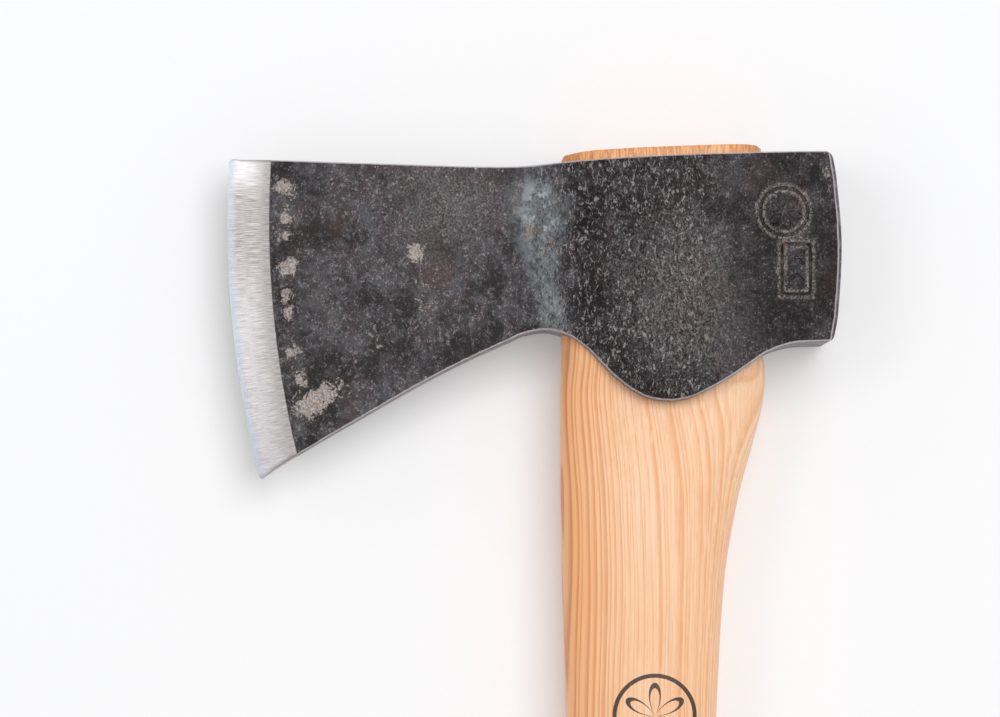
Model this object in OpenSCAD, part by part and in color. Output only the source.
// Carving hatchet lying on its cheek: a forged steel head on a wooden handle, locked with a wooden
// wedge and a three-legged steel peg.
// +X runs up the handle to the top of the head, +Y from the poll to the cutting edge, +Z up.
// The origin is under the middle of the box that holds the hatchet, on the surface that it lies on.

/* [Overall] */
// Length from the end of the knob to the top of the handle
overall_length = 345; // [335:1:375]
// Length of the head from the cutting edge to the poll
head_length = 148; // [146:0.5:151]
// Thickness across the cheeks, where the eye is
head_thickness = 29; // [28:0.5:31]

/* [Blade] */
// Radius of the curve of the cutting edge
edge_radius = 250; // [235:5:300]
// Depth, below the top of the handle, at which the cutting edge bulges furthest forward
edge_crest_depth = 17.5; // [14:0.5:22]
// Width of the ground bevel beside the cutting edge
bevel_width = 10.8; // [8:0.2:12]
// Half thickness of the blade where the bevel starts
bevel_half_thickness = 2.3; // [1.8:0.1:2.8]
// Half thickness of the blade at the notch in front of the handle
neck_half_thickness = 7.6; // [7:0.1:8.2]
// Half thickness of the poll
poll_half_thickness = 12.4; // [11.6:0.2:13.2]

/* [Eye] */
// Distance from the cutting edge back to the front of the eye
eye_front = 80.8; // [80:0.2:81.6]
// Length of the eye
eye_length = 48.6; // [47.6:0.2:49.2]
// Width of the eye between the cheeks
eye_width = 19; // [18:0.2:19.4]

/* [Handle] */
// Radius of the hole for a hanging thong, in the knob
hang_hole_r = 4; // [3:0.25:5]
// Distance of the hole's axis above the end of the knob
hang_hole_up = 23; // [20:0.5:26]
// Distance of the hole's axis behind the cutting edge
hang_hole_back = 92; // [89:0.5:95]
// Exponent of the rounded cross-section of the grip: 2 is an ellipse, and more is squarer
grip_squareness = 2.4; // [2.2:0.1:2.8]

/* [Wedge and peg] */
// Depth to which the wooden wedge reaches into the handle
wedge_depth = 32; // [26:1:36]
// Thickness of the wooden wedge at its top
wedge_top = 5; // [4:0.25:6]
// Thickness of the wooden wedge at its tip
wedge_tip = 1; // [0.8:0.1:1.4]
// Reach of each leg of the steel peg from its middle
peg_reach = 6; // [5:0.25:7]
// Depth to which the steel peg reaches into the wood
peg_depth = 18; // [14:1:22]
// Thickness of each leg of the steel peg
peg_thickness = 1.6; // [1.2:0.1:2]

/* [Hidden] */

top_x = overall_length / 2;
edge_y = head_length / 2;
middle_z = head_thickness / 2;
eye_back = eye_front + eye_length;
eye_r = eye_width / 2;
eye_middle = eye_front + eye_length / 2;
// How far a cutting solid runs past what it cuts
past = 1;
round_fn = 96;
// Steps between two points of a smooth outline, and between two rows of the grip
curve_steps = 4;
row_steps = 3;

// How far the top of the peg lies below the top of the handle, and the size of its tip against its top
peg_sink = 0.6;
peg_taper = 0.45;

// Every outline point is [depth below the top of the handle, distance behind the cutting edge].
function place(p) = [top_x - p[0], edge_y - p[1]];

// How far the outline of the head runs past the cutting edge, where the edge's own curve trims it
past_edge = 4;
// The outline of the head: its top, the heel, the underside of the beard with the notch and the lug
// that reaches down the handle, and the poll
head_top = [[2, 145.8], [2.8, 114], [4.2, 85], [5.4, 68], [4.8, 39], [3.8, 8], [3.4, -past_edge]];
heel = [80.3, 8.8];
beard = [heel, [74.4, 18], [64.5, 35], [56, 50], [48.5, 66], [44.8, 77], [49, 86.5], [56.8, 94],
    [61.6, 103], [61.8, 110], [56.5, 121], [50.2, 130], [47.8, 138], [47.8, 146]];
poll = [[47.8, 146], [41, 147.1], [25, head_length], [9, 146.9], [2, 145.8]];

// Half thickness of the head against distance behind the cutting edge
half_thicknesses = [
    [0, 0],
    [bevel_width, bevel_half_thickness],
    [50, 4.8],
    [68, 6.2],
    [76, neck_half_thickness],
    [84, 11.2],
    [91, 13.6],
    [99, middle_z],
    [119, middle_z],
    [134, (middle_z + poll_half_thickness) / 2],
    [head_length + past_edge, poll_half_thickness]
];

// The top end of the handle, sawn off slightly above the head
handle_end = [[4, eye_front], [2.4, eye_front + 1], [1.2, 95], [0.4, 113], [0, eye_back - 1.5],
    [0.8, eye_back]];
// Depth at which the part of the handle inside the eye ends, within the grip and below the lug
tongue_depth = 58;
// Depth to which the eye is cut, below the deepest point of the lug
eye_cut_depth = 68;

// Rows of the grip of a handle with the usual length: depth, front edge, back edge, half thickness,
// and how much deeper the front edge lies than the middle. The last row is the end of the knob.
usual_length = 345;
grip_rows = [
    [48, 82.5, 127.6, 8.6, 0],
    [56, 81.2, 129.4, 9.3, 0],
    [62, 80.6, 129.4, 9.6, 0],
    [72, 80.5, 127.1, 10.9, 0],
    [85, 80.5, 123.6, 11.4, 0],
    [106, 81, 120.2, 11.4, 0],
    [137, 82, 118.2, 11, 0],
    [175, 83.4, 117, 10.7, 0],
    [215, 83.6, 115.2, 11, 0],
    [250, 81.2, 112.6, 11.8, 0],
    [280, 76.2, 111.6, 12.9, 0],
    [303, 70.4, 113.2, 13.9, 0.6],
    [320, 66.6, 115.2, 14.3, 2],
    [331, 65.2, 115.4, middle_z, 3.4],
    [337.5, 66.4, 113.4, 13.8, 4.2],
    [341, 70.6, 108.6, 11.2, 3.6],
    [342.6, 77.4, 101.6, 6.4, 2.4]
];
// The grip stretches below this depth when the handle is longer than usual
grip_depth = 137;
ring_points = 24;

// A point of the smooth curve through the points list, between points i and i + 1
function curve_at(points, i, t) =
    let (last = len(points) - 1,
        a = points[max(i - 1, 0)],
        b = points[i],
        c = points[min(i + 1, last)],
        d = points[min(i + 2, last)])
    b + t / 2 * (c - a + t * (2 * a - 5 * b + 4 * c - d + t * (3 * b - a - 3 * c + d)));
function smooth(points, steps) = [
    for (i = [0 : len(points) - 2], k = [0 : steps - 1]) curve_at(points, i, k / steps),
    points[len(points) - 1]
];

// A depth on the usual handle, moved to where it lies on this one
function stretched(depth) = depth < grip_depth ? depth :
    grip_depth + (depth - grip_depth) * (overall_length - grip_depth) / (usual_length - grip_depth);

// A point of a rounded oval with unit half axes
function oval(angle, squareness) =
    [sign(cos(angle)) * pow(abs(cos(angle)), 2 / squareness),
        sign(sin(angle)) * pow(abs(sin(angle)), 2 / squareness)];
// One ring of the grip, across the handle
function ring(row) = [
    for (k = [0 : ring_points - 1])
        let (o = oval(360 * k / ring_points, grip_squareness))
        [top_x - stretched(row[0]) - o[0] * row[4],
            edge_y - (row[1] + row[2]) / 2 + o[0] * (row[2] - row[1]) / 2,
            middle_z + o[1] * row[3]]
];

// Extrudes a shape drawn across the handle, [Y, Z], from one depth to a greater one
module across_handle(from, to)
    translate([top_x - to, 0, 0])
        rotate([90, 0, 90])
            linear_extrude(height = to - from)
                children();

// The section of the eye, a slot with round ends
module eye_section() {
    for (end = [eye_front + eye_r, eye_back - eye_r])
        translate([edge_y - end, middle_z])
            circle(r = eye_r, $fn = round_fn);
    translate([edge_y - eye_back + eye_r, middle_z - eye_r])
        square([eye_length - eye_width, eye_width]);
}

// The solid of revolution that gives the head its wedge shape and its curved cutting edge
module head_thickness_body() {
    upper = [for (row = half_thicknesses) [edge_radius - row[0], row[1]]];
    lower = [for (i = [len(upper) - 1 : -1 : 1]) [upper[i][0], -upper[i][1]]];
    translate([top_x - edge_crest_depth, edge_y - edge_radius, middle_z])
        rotate_extrude($fn = round_fn)
            polygon(concat(upper, lower));
}

module head() {
    front = [[heel[0] + past, -past_edge]];
    outline = concat(smooth(head_top, curve_steps), front, smooth(beard, curve_steps),
        smooth(poll, curve_steps));
    color([0.2, 0.19, 0.2])
        difference() {
            intersection() {
                linear_extrude(height = head_thickness)
                    polygon([for (p = outline) place(p)]);
                head_thickness_body();
            }
            across_handle(-past, eye_cut_depth)
                eye_section();
        }
}

// The part of the handle that fills the eye
module tongue() {
    end = smooth(handle_end, curve_steps);
    trim = concat(end, [[tongue_depth, eye_back + past], [tongue_depth, eye_front - past]]);
    intersection() {
        across_handle(0, tongue_depth)
            eye_section();
        linear_extrude(height = head_thickness)
            polygon([for (p = trim) place(p)]);
    }
}

module grip() {
    rows = smooth(grip_rows, row_steps);
    last = len(rows) - 1;
    points = [for (row = rows) each ring(row)];
    sides = [
        for (i = [0 : last - 1], k = [0 : ring_points - 1])
            let (a = i * ring_points, n = (k + 1) % ring_points)
            [a + k, a + n, a + ring_points + n, a + ring_points + k]
    ];
    first_cap = [for (k = [ring_points - 1 : -1 : 0]) k];
    last_cap = [for (k = [0 : ring_points - 1]) last * ring_points + k];
    polyhedron(points, concat(sides, [first_cap], [last_cap]));
}

// The wedge-shaped space that the wooden wedge fills, between the two halves of the tongue
module wedge_space() {
    section = [[top_x, -wedge_top / 2], [top_x, wedge_top / 2],
        [top_x - wedge_depth, wedge_tip / 2], [top_x - wedge_depth, -wedge_tip / 2]];
    translate([0, edge_y - eye_front, middle_z])
        rotate([90, 0, 0])
            linear_extrude(height = eye_length)
                polygon(section);
}

// The section of the peg, three legs that meet in the middle
module peg_section()
    for (leg = [0 : 2])
        rotate(leg * 120)
            translate([0, -peg_thickness / 2])
                square([peg_reach, peg_thickness]);

// The space that the peg fills, narrower towards its tip
module peg_space()
    translate([top_x - peg_sink, edge_y - eye_middle, middle_z])
        rotate([90, 0, -90])
            linear_extrude(height = peg_depth, scale = peg_taper)
                peg_section();

module handle() {
    color([0.93, 0.74, 0.54])
        difference() {
            union() {
                tongue();
                grip();
            }
            wedge_space();
            peg_space();
            translate([hang_hole_up - top_x, edge_y - hang_hole_back, -past])
                cylinder(r = hang_hole_r, h = head_thickness + 2 * past, $fn = round_fn);
        }
}

module wooden_wedge() {
    color([0.85, 0.66, 0.45])
        difference() {
            intersection() {
                wedge_space();
                tongue();
            }
            peg_space();
        }
}

module steel_peg() {
    color([0.6, 0.6, 0.62])
        peg_space();
}

head();
handle();
wooden_wedge();
steel_peg();
